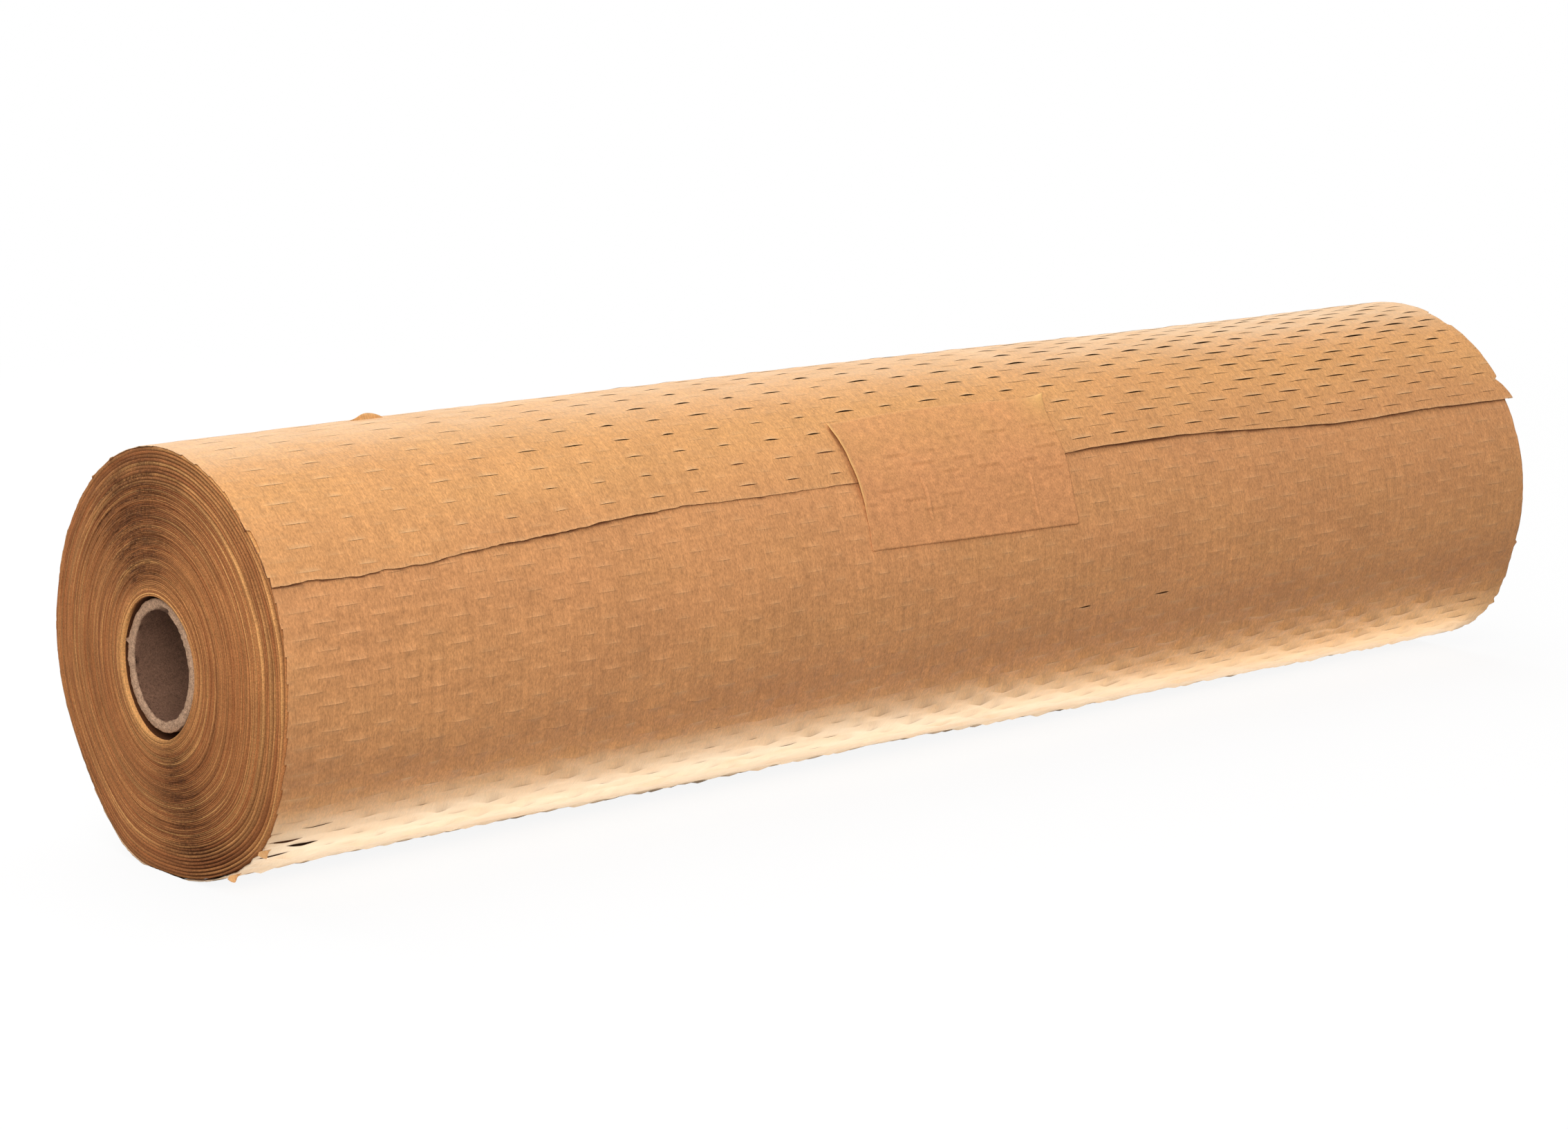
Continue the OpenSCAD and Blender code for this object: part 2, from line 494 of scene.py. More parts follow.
web = {
    "slitPitch": 0.0168,  # distance between two slits of one row
    "slitLength": 0.0112,
    "slitPhase": 0.0011,  # place of one slit's middle along the roll
    "rowStep": 0.00363,  # distance between two rows
    "firstRow": 0.0403,  # arc of the first open row
    "columnsPerPitch": 18,  # a slit takes two thirds of them
    "rowsBelow": 3,  # rows between the first open row and the free edge
    "bandSteps": (0, 0.12, 0.4, 0.6, 0.88, 1),
    "inset": 0.00025,  # how far the web lies inside the roll's radius
    "edgeLift": (0.00013, 0.0015),  # how far the free edge lifts, and this lift's reach
    "tucked": 0.014,  # length that lies in under the free edge
    "tuckDepth": 0.0002, "tuckStart": (-0.004, 0.002),
    "cutDepth": 0.0025,  # how far the paper reaches in behind the cut edge at each rim
    "underside": 200,  # degrees where the top ends
    # one slit's own share: least, what chance adds to it, and the power of that
    "own": {"open": (0.5, 0.6, 1), "lip": (0.45, 0.9, 1), "press": (0.35, 1.3, 1.5),
            "reach": (0.38, 0.38, 1)},
    "lensAside": 0.4,  # how much a slit's widest place varies along it
    "foldLean": (-0.35, 0.5),  # how far a fold's point leans along the roll, and how much that varies
    "longerFar": (0.3, -0.1, 0.15),  # what slits gain in reach, between two places
    "longerRim": [(-0.2415, 0.009, 0.6)],  # and at the near rim: x, spread, share
    "slitBend": 1.5,  # how fast the paper beside an open slit runs straight again
    "minorBelow": 0.7,  # share that every other row opens on the underside
    "calmAtRims": 0.3, "calmReach": (0.001, 0.009),
    "ridges": (1.4, 0.09), "ridgeStart": (335, 345),  # stronger forms near the near end
    "lipLeast": 0.25,  # share that the lips on top keep where the slits are shut
    # where the paper bulges less and where it is crumpled: degrees, spread, share
    "calmTop": [(102, 16, 0.8)],
    "crumpled": [(316, 20, 1)],
    # noises: mean, swing, cell along the roll, cell round it, seed
    "noises": {
        "tear": (0, 0.00022, 0.004, 1, 3), "fineTear": (0, 0.00011, 0.0015, 1, 4),
        "opening": (0.85, 0.25, 0.035, 0.012, 5), "press": (1, 0.35, 0.05, 0.02, 6),
        "bulge": (0, 0.00035, 0.07, 0.03, 7), "wrinkle": (0, 0.00009, 0.0045, 0.03, 8),
        "streaks": (0.5, 1, 0.05, 0.05, 9), "edgeLift": (0.7, 0.6, 0.03, 1, 10),
        "drift": (0, 0.0002, 0.02, 0.006, 11), "crinkle": (0, 0.00009, 0.012, 0.0022, 15),
        "crumple": (0, 0.00022, 0.0060, 0.0016, 19),
    },
    # tables of (place along the roll, share): torn edge, and slits of both kinds of row opened on top
    "torn": [(-0.25, 1.2), (-0.12, 1), (-0.05, 0.5), (0.05, 0.3), (0.25, 0.45)],
    "openAlong": [(-0.25, 0.06), (-0.20, 0.2), (-0.15, 0.45), (-0.10, 0.85), (0.05, 1), (0.25, 0.85)],
    "minorAlong": [(-0.25, 0.03), (0.0, 0.12), (0.10, 0.45), (0.18, 0.85), (0.25, 0.9)],
    # tables of (degrees from the camera-facing line up over the top and on round, mm)
    "opening": [(28, 0.35), (45, 0.48), (60, 0.56), (75, 0.66), (110, 0.70), (160, 0.5), (240, 0.4),
                (285, 0.60), (300, 0.70), (312, 0.60), (322, 0.42), (332, 0.16), (340, 0.03), (420, 0.01)],
    "upperLip": [(28, 0.15), (60, 0.24), (74, 0.30), (86, 0.18), (96, 0.10), (112, 0.12), (135, 0.35),
                 (240, 0.20), (285, 0.12), (330, 0.10), (345, 0.16), (370, 0.15), (420, 0.10)],
    "lowerLip": [(28, 0.02), (60, 0.04), (130, 0.10), (285, 0.10), (330, 0.08), (350, 0.10), (370, 0.09),
                 (420, 0.06)],
    "foldUp": [(28, 0.02), (60, 0.04), (130, 0.08), (240, 0.25), (285, 0.50), (312, 0.65), (330, 0.62),
               (338, 0.45), (344, 0.28), (352, 0.18), (370, 0.12), (420, 0.06)],
    "foldDown": [(28, 0.01), (130, 0.05), (240, 0.20), (285, 0.30), (318, 0.34), (332, 0.32),
                 (338, 0.22), (344, 0.14), (352, 0.09), (370, 0.06), (420, 0.03)],
    # and of (degrees, power): how close to a slit its lips stay
    "sharpness": [(28, 2.6), (130, 2.4), (285, 3), (330, 5), (350, 7), (420, 7)],
}

# slits that stand wide open: x, spread along the roll, degrees, spread round it, mm
openSlits = [(0.0462, 0.005, 346.9, 1.3, 0.9), (0.0798, 0.005, 346.9, 1.3, 0.8),
             (-0.2415, 0.011, 315.5, 5, 1.9)]


def rowLayers(rowNumbers, x, columnIndex):
    # for each row of slits, the shapes of lens and fold along the roll and each slit's own strength
    draw = np.random.default_rng(roll["seed"])
    perPitch = web["columnsPerPitch"]
    shift = np.where(rowNumbers % 2 == 0, 0, perPitch // 2)[:, None]
    counted = columnIndex[None, :] - shift + perPitch // 2
    place = counted % perPitch - perPitch // 2
    slitNumber = counted // perPitch
    slitNumber = slitNumber - slitNumber.min()
    own = draw.uniform(0, 1, (6, len(rowNumbers), slitNumber.max() + 1))
    own = own[:, np.arange(len(rowNumbers))[:, None], slitNumber]
    opening, lip, aside, press, leaning, reaching = own

    def ownShare(name, chance):
        least, more, power = web["own"][name]
        return least + more * chance ** power

    share = place * web["slitPitch"] / perPitch / (web["slitLength"] / 2)
    further, start, end = web["longerFar"]
    further = further * ease(x, start, end) + humps(x, web["longerRim"])
    reach = np.minimum(ownShare("reach", reaching) + further[None, :], 1)
    lens = np.clip(1 - (share / reach + web["lensAside"] * (aside - 0.5)) ** 2, 0, 1)
    lean = web["foldLean"][0] + web["foldLean"][1] * (leaning - 0.5)
    return {
        "lens": lens,
        "fold": np.clip(np.minimum((1 + share) / (1 + lean), (1 - share) / (1 - lean)), 0, 1),
        "open": ownShare("open", opening),
        "lip": ownShare("lip", lip),
        "press": ownShare("press", press),
        "even": np.broadcast_to((rowNumbers % 2 == 0)[:, None], lens.shape),
    }


def underSticker(x, degrees):
    # 1 where the sticker holds the web down, also on the turn below its free edge
    first = plateau(degrees, *sticker["heldRound"])
    return plateau(x, *sticker["heldAlong"]) * np.maximum(first, ease(degrees, *sticker["heldBelow"]))


def tornEdge(x):
    # arc of the free edge, with its small tears
    edge = np.radians(byTable(x / mm, seamLine)) * radius
    return edge + byTable(x, web["torn"]) * (noiseOf(web, "tear", x) + noiseOf(web, "fineTear", x))


def layOutWeb():
    # the flat web: bands between two rows of slits, a few steps in each, and columns along the roll
    perPitch = web["columnsPerPitch"]
    firstColumn = round((nearX - web["slitPhase"]) / web["slitPitch"] * perPitch)
    lastColumn = math.ceil((farX - web["slitPhase"]) / web["slitPitch"] * perPitch)
    columnIndex = np.arange(firstColumn, lastColumn + 1)
    x = np.clip(web["slitPhase"] + columnIndex * web["slitPitch"] / perPitch, nearX, farX)
    edge = tornEdge(x)
    lastBand = math.ceil((turnArc + edge.max() + web["tucked"] - web["firstRow"]) / web["rowStep"])
    bands = np.arange(-web["rowsBelow"] - 1, lastBand)[:, None, None]
    flatArc = web["firstRow"] + (bands + np.array(web["bandSteps"])[None, :, None]) * web["rowStep"]
    arc = np.maximum(flatArc, edge)
    atEdge = flatArc <= edge
    inRows = (arc - web["firstRow"]) / web["rowStep"]
    band = np.where(atEdge, np.floor(inRows).astype(int), bands)
    column = np.broadcast_to(np.arange(len(x)), arc.shape)
    placeX = x[column]
    degrees = np.degrees(arc / radius)
    fromRim = np.minimum(placeX - nearX, farX - placeX)
    ridged = 1 + ease(degrees, *web["ridgeStart"]) * fading(placeX - nearX, *web["ridges"])
    calm = web["calmAtRims"]
    return SimpleNamespace(
        x=x, edge=edge, arc=arc, atEdge=atEdge, band=band, low=band - bands.min(), column=column,
        share=np.clip(inRows - band, 0, 1), placeX=placeX, degrees=degrees, fromEdge=arc - edge[column],
        onTop=degrees < web["underside"],
        rows=rowLayers(np.arange(bands.min(), lastBand + 1), x, columnIndex),
        held=1 - sticker["hold"] * underSticker(placeX, degrees),
        calm=calm + (1 - calm) * ease(fromRim, *web["calmReach"]),
        ridged=ridged,
        along=byTable(placeX, web["openAlong"]), minor=byTable(placeX, web["minorAlong"]))


def openingAt(grid, row):
    # how far apart the two sides of a row's slits stand
    main = grid.rows["even"][row, grid.column]
    rank = np.where(main, 1.0, np.where(grid.onTop, grid.minor, web["minorBelow"]))
    size = byTable(grid.degrees, web["opening"]) * rank * np.where(grid.onTop, grid.along, 1)
    size = size * noiseOf(web, "opening", grid.placeX, grid.arc) * grid.rows["open"][row, grid.column]
    size = size * grid.held * grid.calm
    for slitX, along, angle, spread, extra in openSlits:
        size = size + extra * hump(grid.placeX, slitX, along) * hump(grid.degrees, angle, spread)
    return mm * size * grid.rows["lens"][row, grid.column]


def lipAt(grid, row, table):
    size = byTable(grid.degrees, web[table]) * grid.rows["lip"][row, grid.column]
    main = grid.rows["even"][row, grid.column]
    least = web["lipLeast"]
    top = np.where(main, least + (1 - least) * grid.along, grid.minor)
    size = size * grid.held * grid.ridged * grid.calm * np.where(grid.onTop, top, 1)
    return mm * size * grid.rows["lens"][row, grid.column]


def foldAt(grid, row, table, fromSlit):
    # a flat three-cornered face that rises to the slit's lip
    size = byTable(grid.degrees, web[table]) * grid.rows["press"][row, grid.column]
    size = size * noiseOf(web, "press", grid.placeX, grid.arc) * grid.held * grid.calm
    return mm * size * np.clip(grid.rows["fold"][row, grid.column] - fromSlit, 0, 1)


def webShape(grid):
    # each point's arc and distance from the axis, with slits, lips, folds and wrinkles
    x, arc, share, low = grid.placeX, grid.arc, grid.share, grid.low
    away = 1 - share
    sharp = byTable(grid.degrees, web["sharpness"])
    lips = lipAt(grid, low, "upperLip") * away ** sharp + lipAt(grid, low + 1, "lowerLip") * share ** sharp
    folds = foldAt(grid, low, "foldUp", share) + foldAt(grid, low + 1, "foldDown", away)
    bulge = (1 - humps(grid.degrees, web["calmTop"])) * noiseOf(web, "bulge", x, arc)
    wrinkle = noiseOf(web, "wrinkle", x, arc) * noiseOf(web, "streaks", x, arc)
    wrinkle = wrinkle + grid.ridged * noiseOf(web, "crinkle", x, arc)
    wrinkle = wrinkle + humps(grid.degrees, web["crumpled"]) * noiseOf(web, "crumple", x, arc)
    lift = noiseOf(web, "edgeLift", x) * fading(grid.fromEdge, *web["edgeLift"])
    tuckFrom, tuckTo = web["tuckStart"]
    tuck = web["tuckDepth"] * ease(grid.fromEdge, turnArc + tuckFrom, turnArc + tuckTo)
    inwards = web["inset"] + roll["plyStep"] * grid.fromEdge / turnArc + tuck
    distance = radius - inwards + lips + folds + bulge + wrinkle + lift * grid.held

    bend = web["slitBend"]
    shift = openingAt(grid, low) / 2 * away ** bend - openingAt(grid, low + 1) / 2 * share ** bend
    moved = arc + shift + noiseOf(web, "drift", x, arc)
    leastPast = 0.00001
    moved = np.where(grid.atEdge, arc, np.maximum(moved, grid.edge[grid.column] + leastPast))
    return moved, distance


rims = {
    # how far each rim stands out: degrees, mm
    "far": [(28, 0), (31, 3.5), (33.4, 2.9), (36.5, 1.4), (38.7, -0.5), (39.3, -1.8), (39.9, 0.6), (44, 0.7),
            (63, 0.4), (65.0, 0.2), (65.3, -1.0), (74, -0.9), (74.8, -1.2), (75.2, 0.3), (90, 0.3), (120, 0),
            (318.2, 0), (319.2, 1.5), (321, 0.2), (340.8, 0), (342.2, 1.1), (343.2, 0), (420, 0)],
    "near": [(28, 0.4), (36, 0.5), (38.6, 0.5), (38.9, -0.5), (45.3, -0.2), (45.6, 0.7), (54, 0.6),
             (60, -0.2), (66, 0.2), (90, 0.1), (114.2, 0.1), (115.4, 0.9), (117.5, 0.2), (126.2, 0),
             (127.2, 0.8), (128.6, 0), (200, 0), (286, 0.2), (287, 1.6), (288.5, 0.3), (300, -0.6),
             (309, 0.2), (312.5, 1.2), (314, -0.6), (318, 0), (420, 0)],
    "nearReach": 0.004, "farReach": 0.003,
    # the slits cross the near rim and cut it into short steps
    "moreTorn": [(45, 25, 0.0002)],
    "lessTorn": 0.75, "lessTornFrom": (90, 110, 285, 300),
    "stepReach": (0.0008, 0.0026),
    "noises": {"steps": (0.0004, 0.00025, 9, 1, 18), "near": (0, 0.00016, 0.005, 1, 12),
               "fine": (0, 0.00011, 0.001, 1, 13), "far": (0, 0.00008, 0.004, 1, 14)},
}


def withRims(grid, moved):
    # places along the roll, with both rims as far out as they stand
    degrees, fromNear = grid.degrees, grid.placeX - nearX
    near = mm * (byTable(degrees, rims["near"]) + byTable(wrapped(degrees), roll["nearLean"]))
    torn = noiseOf(rims, "steps", degrees) + humps(wrapped(degrees), rims["moreTorn"])
    torn = torn * (1 - rims["lessTorn"] * plateau(degrees, *rims["lessTornFrom"]))
    step = 0.5 - (grid.band % 2 + grid.share) / 2
    near = near + torn * step * (1 - ease(fromNear, *rims["stepReach"]))
    near = near + noiseOf(rims, "near", moved) + noiseOf(rims, "fine", moved)
    far = mm * byTable(degrees, rims["far"]) + noiseOf(rims, "far", moved)
    placeX = grid.placeX - fading(fromNear, near, rims["nearReach"])
    return placeX + fading(farX - placeX, far, rims["farReach"])


wearAndPaintedLight = {
    # tables of (degrees, share)
    # upper lips: worn fibre and painted highlight
    "upperLipWearAndHighlight": [(28, 0.45), (130, 0.6), (300, 0.2), (330, 0.15), (420, 0.12)],
    # painted highlight where the light from the floor falls low on the front
    "glowHighlight": [(28, 0), (275, 0), (290, 0.50), (316, 0.65), (322, 0.45), (327, 0.25), (330.5, 0), (420, 0)],
    # painted highlights over the top and low on the front
    "paintedHighlight": [(28, 0), (60, 0), (68, 0.08), (80, 0.28), (95, 0.40), (112, 0.2), (130, 0), (275, 0.6),
              (295, 0.95), (314, 0.95), (319, 0.70), (324, 0.34), (328, 0.15), (330.5, 0.03), (333, 0),
              (420, 0)],
    # lower lips: painted highlight where the light comes from below
    "lowerLipHighlight": [(28, 0), (290, 0), (318, 0.25), (332, 0.6), (344, 0.45), (356, 0.16), (420, 0.10)],
    # painted light: the top golden and lighter, the front rosier and darker; the noise adds random tone
    "frontShadeAndTone": [(28, 0.80), (38, 0.60), (50, 0.30), (75, 0.08), (120, 0), (250, 0.1), (290, 0), (318, 0.1),
              (335, 0.85), (420, 1)],
    # how close to a slit its wear, painted highlights and painted shade stay
    "aboveSharp": 6, "belowSharp": 9, "slitShadeSharp": 8,  # how close to a slit its wear stays
    "minorLipShare": 0.3,
    # towards the far end, between two places, the painted highlights reach further down: degrees
    "farPart": (-0.06, 0.17), "glowHighlightFar": 3, "paintedHighlightFar": 14, "paintedHighlightTop": 0.5,
    "edge": (0.2, 0.0005),  # wear along the free edge: share, reach
    # painted shade just above the slits, and a painted darker band low on the front: degrees, spread, share
    "slitShadeLines": [(320, 14, 0.4)],
    "shade": [(338, 8, 0.20)],
    # painted shadow under the free edge: share and reach
    "lapShade": 0.85, "lapReach": (-0.00032, -0.0001),  # below the free edge
    "noises": {"glowHighlight": (0.85, 0.35, 0.02, 0.006, 16), "frontShadeAndTone": (0, 0.13, 0.025, 0.012, 17),
               "paintedHighlight": (1, 0.25, 0.012, 0.003, 20)},
}


def stickerShadow(placeX, degrees):
    # the thin painted shadow on the web along the sticker's lifted left edge
    (bottomX, bottomAngle), (topX, topAngle) = sticker["bottomLeft"], sticker["topLeft"]
    share = (degrees - bottomAngle) / (topAngle - bottomAngle)
    fromLeft = placeX - (bottomX + (topX - bottomX) * share)
    return humps(fromLeft, sticker["shadow"]) * plateau(share, *sticker["shadowFrom"])


def wearAndPaintedLightLayers(grid, placeX):
    # shares of paper painted rosier in the front's shade, of wear with painted highlights, of painted shade
    # and of painted highlights
    degrees, arc, away = grid.degrees, grid.arc, 1 - grid.share
    lens = grid.rows["lens"][grid.low, grid.column]
    lensBelow = grid.rows["lens"][grid.low + 1, grid.column]
    # the upper lips' worn fibre and painted highlight, and the lower lips' painted highlight
    above = lens * away ** wearAndPaintedLight["aboveSharp"] * byTable(degrees, wearAndPaintedLight["upperLipWearAndHighlight"])
    main = grid.rows["even"][grid.low, grid.column] | ~grid.onTop
    above = above * np.where(main, 1, wearAndPaintedLight["minorLipShare"])
    below = lensBelow * grid.share ** wearAndPaintedLight["belowSharp"] * byTable(degrees, wearAndPaintedLight["lowerLipHighlight"])
    wearAndHighlight = (above + below * grid.rows["lip"][grid.low + 1, grid.column]) * grid.held

    toFar = ease(placeX, *wearAndPaintedLight["farPart"])
    downFar = toFar * ~grid.onTop
    # painted highlight of the floor's light low on the front, pale as worn fibre
    glowHighlight = byTable(degrees + wearAndPaintedLight["glowHighlightFar"] * downFar, wearAndPaintedLight["glowHighlight"])
    glowHighlight = glowHighlight * noiseOf(wearAndPaintedLight, "glowHighlight", placeX, arc)
    atEdge = fading(np.abs(grid.fromEdge), *wearAndPaintedLight["edge"])
    wearAndHighlight = np.maximum(np.maximum(np.clip(wearAndHighlight, 0, 1), glowHighlight), atEdge)

    # painted highlights over the top and low on the front, stronger on top towards the far end
    paintedHighlight = byTable(degrees + wearAndPaintedLight["paintedHighlightFar"] * downFar, wearAndPaintedLight["paintedHighlight"])
    paintedHighlight = paintedHighlight * noiseOf(wearAndPaintedLight, "paintedHighlight", placeX, arc)
    paintedHighlight = paintedHighlight * np.where(grid.onTop, 1 + wearAndPaintedLight["paintedHighlightTop"] * toFar, 1)

    # painted shade above the slits, a painted darker band, and painted shadows below the free edge and the
    # sticker
    paintedSlitShade = lens * away ** wearAndPaintedLight["slitShadeSharp"] * humps(degrees, wearAndPaintedLight["slitShadeLines"])
    paintedSlitShade = np.maximum(paintedSlitShade, humps(degrees, wearAndPaintedLight["shade"]))
    under = wearAndPaintedLight["lapShade"] * ease(grid.fromEdge - turnArc, *wearAndPaintedLight["lapReach"]) * grid.held
    under = np.maximum(np.maximum(under, paintedSlitShade), stickerShadow(placeX, degrees))
    frontShadeAndTone = byTable(degrees, wearAndPaintedLight["frontShadeAndTone"]) + noiseOf(wearAndPaintedLight, "frontShadeAndTone", placeX, arc)
    return {"frontShadeAndTone": np.clip(frontShadeAndTone, 0, 1), "wearAndHighlight": wearAndHighlight, "under": under, "paintedHighlight": np.clip(paintedHighlight, 0, 1)}


def withEdges(values, near=(0, 0), far=(0, 0)):
    # two more columns at each rim, for the cut edge and the paper behind it
    first, last = values[..., :1], values[..., -1:]
    return np.concatenate([first + near[0], first + near[1], values, last + far[0], last + far[1]], -1)


def buildWeb():
    grid = layOutWeb()
    moved, distance = webShape(grid)
    placeX = withRims(grid, moved)
    layers = wearAndPaintedLightLayers(grid, placeX)
    behind, thin = web["cutDepth"], roll["plyEdge"]
    placeX = withEdges(placeX, (behind, 0), (0, -behind))
    distance = withEdges(distance, (-thin, -thin), (-thin, -thin))
    moved = withEdges(moved)
    points = onRoll(placeX, moved, distance)
    count, rows, columns = points.shape[:3]
    faces = np.concatenate([gridFaces(rows, columns, number * rows * columns) for number in range(count)])
    beforeEdge = withEdges(grid.atEdge.astype(int)).reshape(-1) > 0
    kept = ~beforeEdge[faces].all(1)
    faceBand = np.repeat(np.arange(count), (rows - 1) * (columns - 1))[kept]

    # points that two bands share become one, so that the paper is one sheet between its slits
    flat = points.reshape(-1, 3)
    stepsPerMetre = 1e7
    steps = np.round(flat * stepsPerMetre).astype(np.int64)
    _, first, same = np.unique(steps, axis=0, return_index=True, return_inverse=True)
    faces = same.reshape(-1)[faces[kept]][:, ::-1]
    normals = vertexNormals(flat[first], faces)
    unrolled = np.stack([placeX, moved], -1).reshape(-1, 2)
    layers = {layer: withEdges(values).reshape(-1) for layer, values in layers.items()}
    names = ("web_over_the_top", "web_round_the_back", "web_up_the_front")
    for name, part in zip(names, np.array_split(np.arange(count), len(names))):
        chosen = faces[(faceBand >= part[0]) & (faceBand <= part[-1])]
        used, renumbered = np.unique(chosen, return_inverse=True)
        source = first[used]
        makePiece(name, flat[source], renumbered.reshape(-1, 4), kraftPaper, "paper_roll",
                  unrolled[source], {layer: values[source] for layer, values in layers.items()},
                  normals[used])
    return grid.x, grid.edge


# The turn below, painted dark as shade, seen through the slits

below = {"depth": 0.0015, "inset": 0.002, "lowest": 0.0008, "columns": 40, "rows": 180}


def buildTurnBelow():
    x = np.linspace(nearX + below["inset"], farX - below["inset"], below["columns"])
    arc = np.linspace(0, turnArc, below["rows"], endpoint=False)
    grid = onRoll(x[:, None], arc[None, :], radius - below["depth"])
    grid[..., 2] = np.maximum(grid[..., 2], below["lowest"])
    makePiece("turn_below", grid, gridFaces(below["columns"], below["rows"], closed=True), shadedBelowKraft,
              "paper_roll")


# Both ends: the edges of all the turns, one long spiral from the free edge in to the core

spiral = {
    "turns": 74,
    "looseTurns": 10,  # outer turns that lie further apart
    "looseness": 1.1,
    "looseEasing": 3,  # turns over which the distance grows
    "perTurn": 220,  # points on one turn
    "startAngle": 33.0,
    "outerGap": 0.0003, "innerGap": 0.0004,  # to the web and to the bore
    # half the thickness of a turn's edge and what it gains on the side away from the free edge,
    # and the most of a pitch that it takes, and the gain of that
    "plyHalf": (0.00017, 0.0003), "plyShare": (0.32, 0.08),
    "gapDepth": 0.0007,
    "looseGap": 0.0014,  # extra depth between the loose turns
    "gapAway": 0.4,  # share of the depth on the side away from the free edge
    "cornerDepth": 0.00004,  # how far a turn's inner corner lies behind its outer one
    "brightRing": 0.0505,  # one pale turn that stands out
    "paleOut": 0.0004,
    # dark wedges painted as shade, where the turn edges also crumble a little
    "crushed": [(108, 29, 1.15), (-77, 19, 0.90)],  # where the turns are crushed: degrees, spread, share
    "crushFrom": (0.020, 0.026), "rimCrush": (0.5, 0.052, 0.058),
    "flare": (0.0014, 0.003),  # how far the innermost turns stand off the core, and its reach
    "slidSide": (5, 50),  # degrees and spread of the side where the turns have slid out
    "swell": 0.0019,  # how far the turns between rim and core stand out on that side
    "swellPower": 0.3,
    "coreSide": 0.0014,  # how far the innermost turns stay back on that side
    "inmostEasing": 0.03,  # turns over which the last one becomes the face round the core
    "inmostNarrow": 0.4,
    "lining": (0.0007, 0.0006, 0.0008, 0.012),  # depths of the innermost turn's face round the core
    # sides of the roll: direction in degrees, and the cosines off it where the side starts and is full
    "sides": {"freeEdge": (0, -0.3, 0.5), "sunny": (220, -0.1, 0.5), "flared": (245, -0.5, 0.9),
              "pale": (50, -0.2, 0.4)},
    # what makes an edge brighter, and by how much; golden and inmost are painted light on the sunny side
    # round the core
    "brighter": {"spots": 1.8, "tall": 500, "pale": 0.6, "loose": 0.1, "golden": 0.9, "inmost": 0.6},
    "brightNear": [(0.020, 0.003, 0.25)],
    "goldenReach": 0.0016,
    "mostDeep": 0.35, "innerDeep": 0.1,
    # painted shade in the gaps: share that the painted golden lining takes away, and its least share away
    # from the free edge
    "gapFade": 0.9, "gapShade": 0.62,
    "faceShade": 0.95,
    # noises: mean, swing, two cells, and a number that each end adds to its own seed
    "seeds": (30, 50),
    "noises": {
        "stray": (0, 0.00013, 0.05, 1, 0), "strayShort": (0, 0.000091, 0.024, 1, 1),
        "strayFine": (0, 0.000052, 0.006, 1, 2), "bundle": (0, 0.00006, 0.0024, 120, 3),
        "wobble": (0, 0.00006, 0.012, 1, 4), "depth": (1, 0.5, 0.05, 1, 5),
        "bright": (0.14, 0.2, 0.05, 1, 6), "brightShort": (0, 0.15, 0.012, 1, 7),
        "crushed": (0.8, 0.5, 0.004, 9, 8), "crumbled": (0, 0.0003, 0.0014, 1, 9),
        "deeper": (0.08, -0.4, 0.04, 1, 10), "spots": (-0.5, 1, 0.06, 1, 11),
        "looseBright": (0, 0.4, 0.0011, 60, 12),
    },
}


def turnRadii():
    # distances of the turns from the axis, the innermost first, and how loose each one lies
    turn = np.arange(spiral["turns"] + 1)
    firstLoose = spiral["turns"] - spiral["looseTurns"]
    loose = ease(turn, firstLoose - spiral["looseEasing"], firstLoose + spiral["looseEasing"])
    total = np.concatenate([[0], np.cumsum(1 + spiral["looseness"] * loose)])[:-1]
    inner = boreRadius + spiral["innerGap"]
    outer = radius - roll["plyStep"] - spiral["outerGap"]
    return inner + (outer - inner) * total / total[-1], loose


def inwardShare(distance):
    return (radius - distance) / (radius - boreRadius)


def nearLead(distance, degrees):
    # how far the near end stands out: the inner turns have slid out, and the rim towards the free edge
    inward = inwardShare(distance)
    side = hump(wrapped(degrees), *spiral["slidSide"])
    lean = mm * byTable(wrapped(degrees), roll["nearLean"]) * (1 - inward)
    swell = spiral["swell"] * np.sin(np.pi * inward) * (1 - inward) ** spiral["swellPower"]
    return telescope * inward + lean + side * (swell - spiral["coreSide"] * inward ** 3)


def sideOf(name, degrees):
    direction, start, full = spiral["sides"][name]
    return ease(np.cos(np.radians(degrees - direction)), start, full)


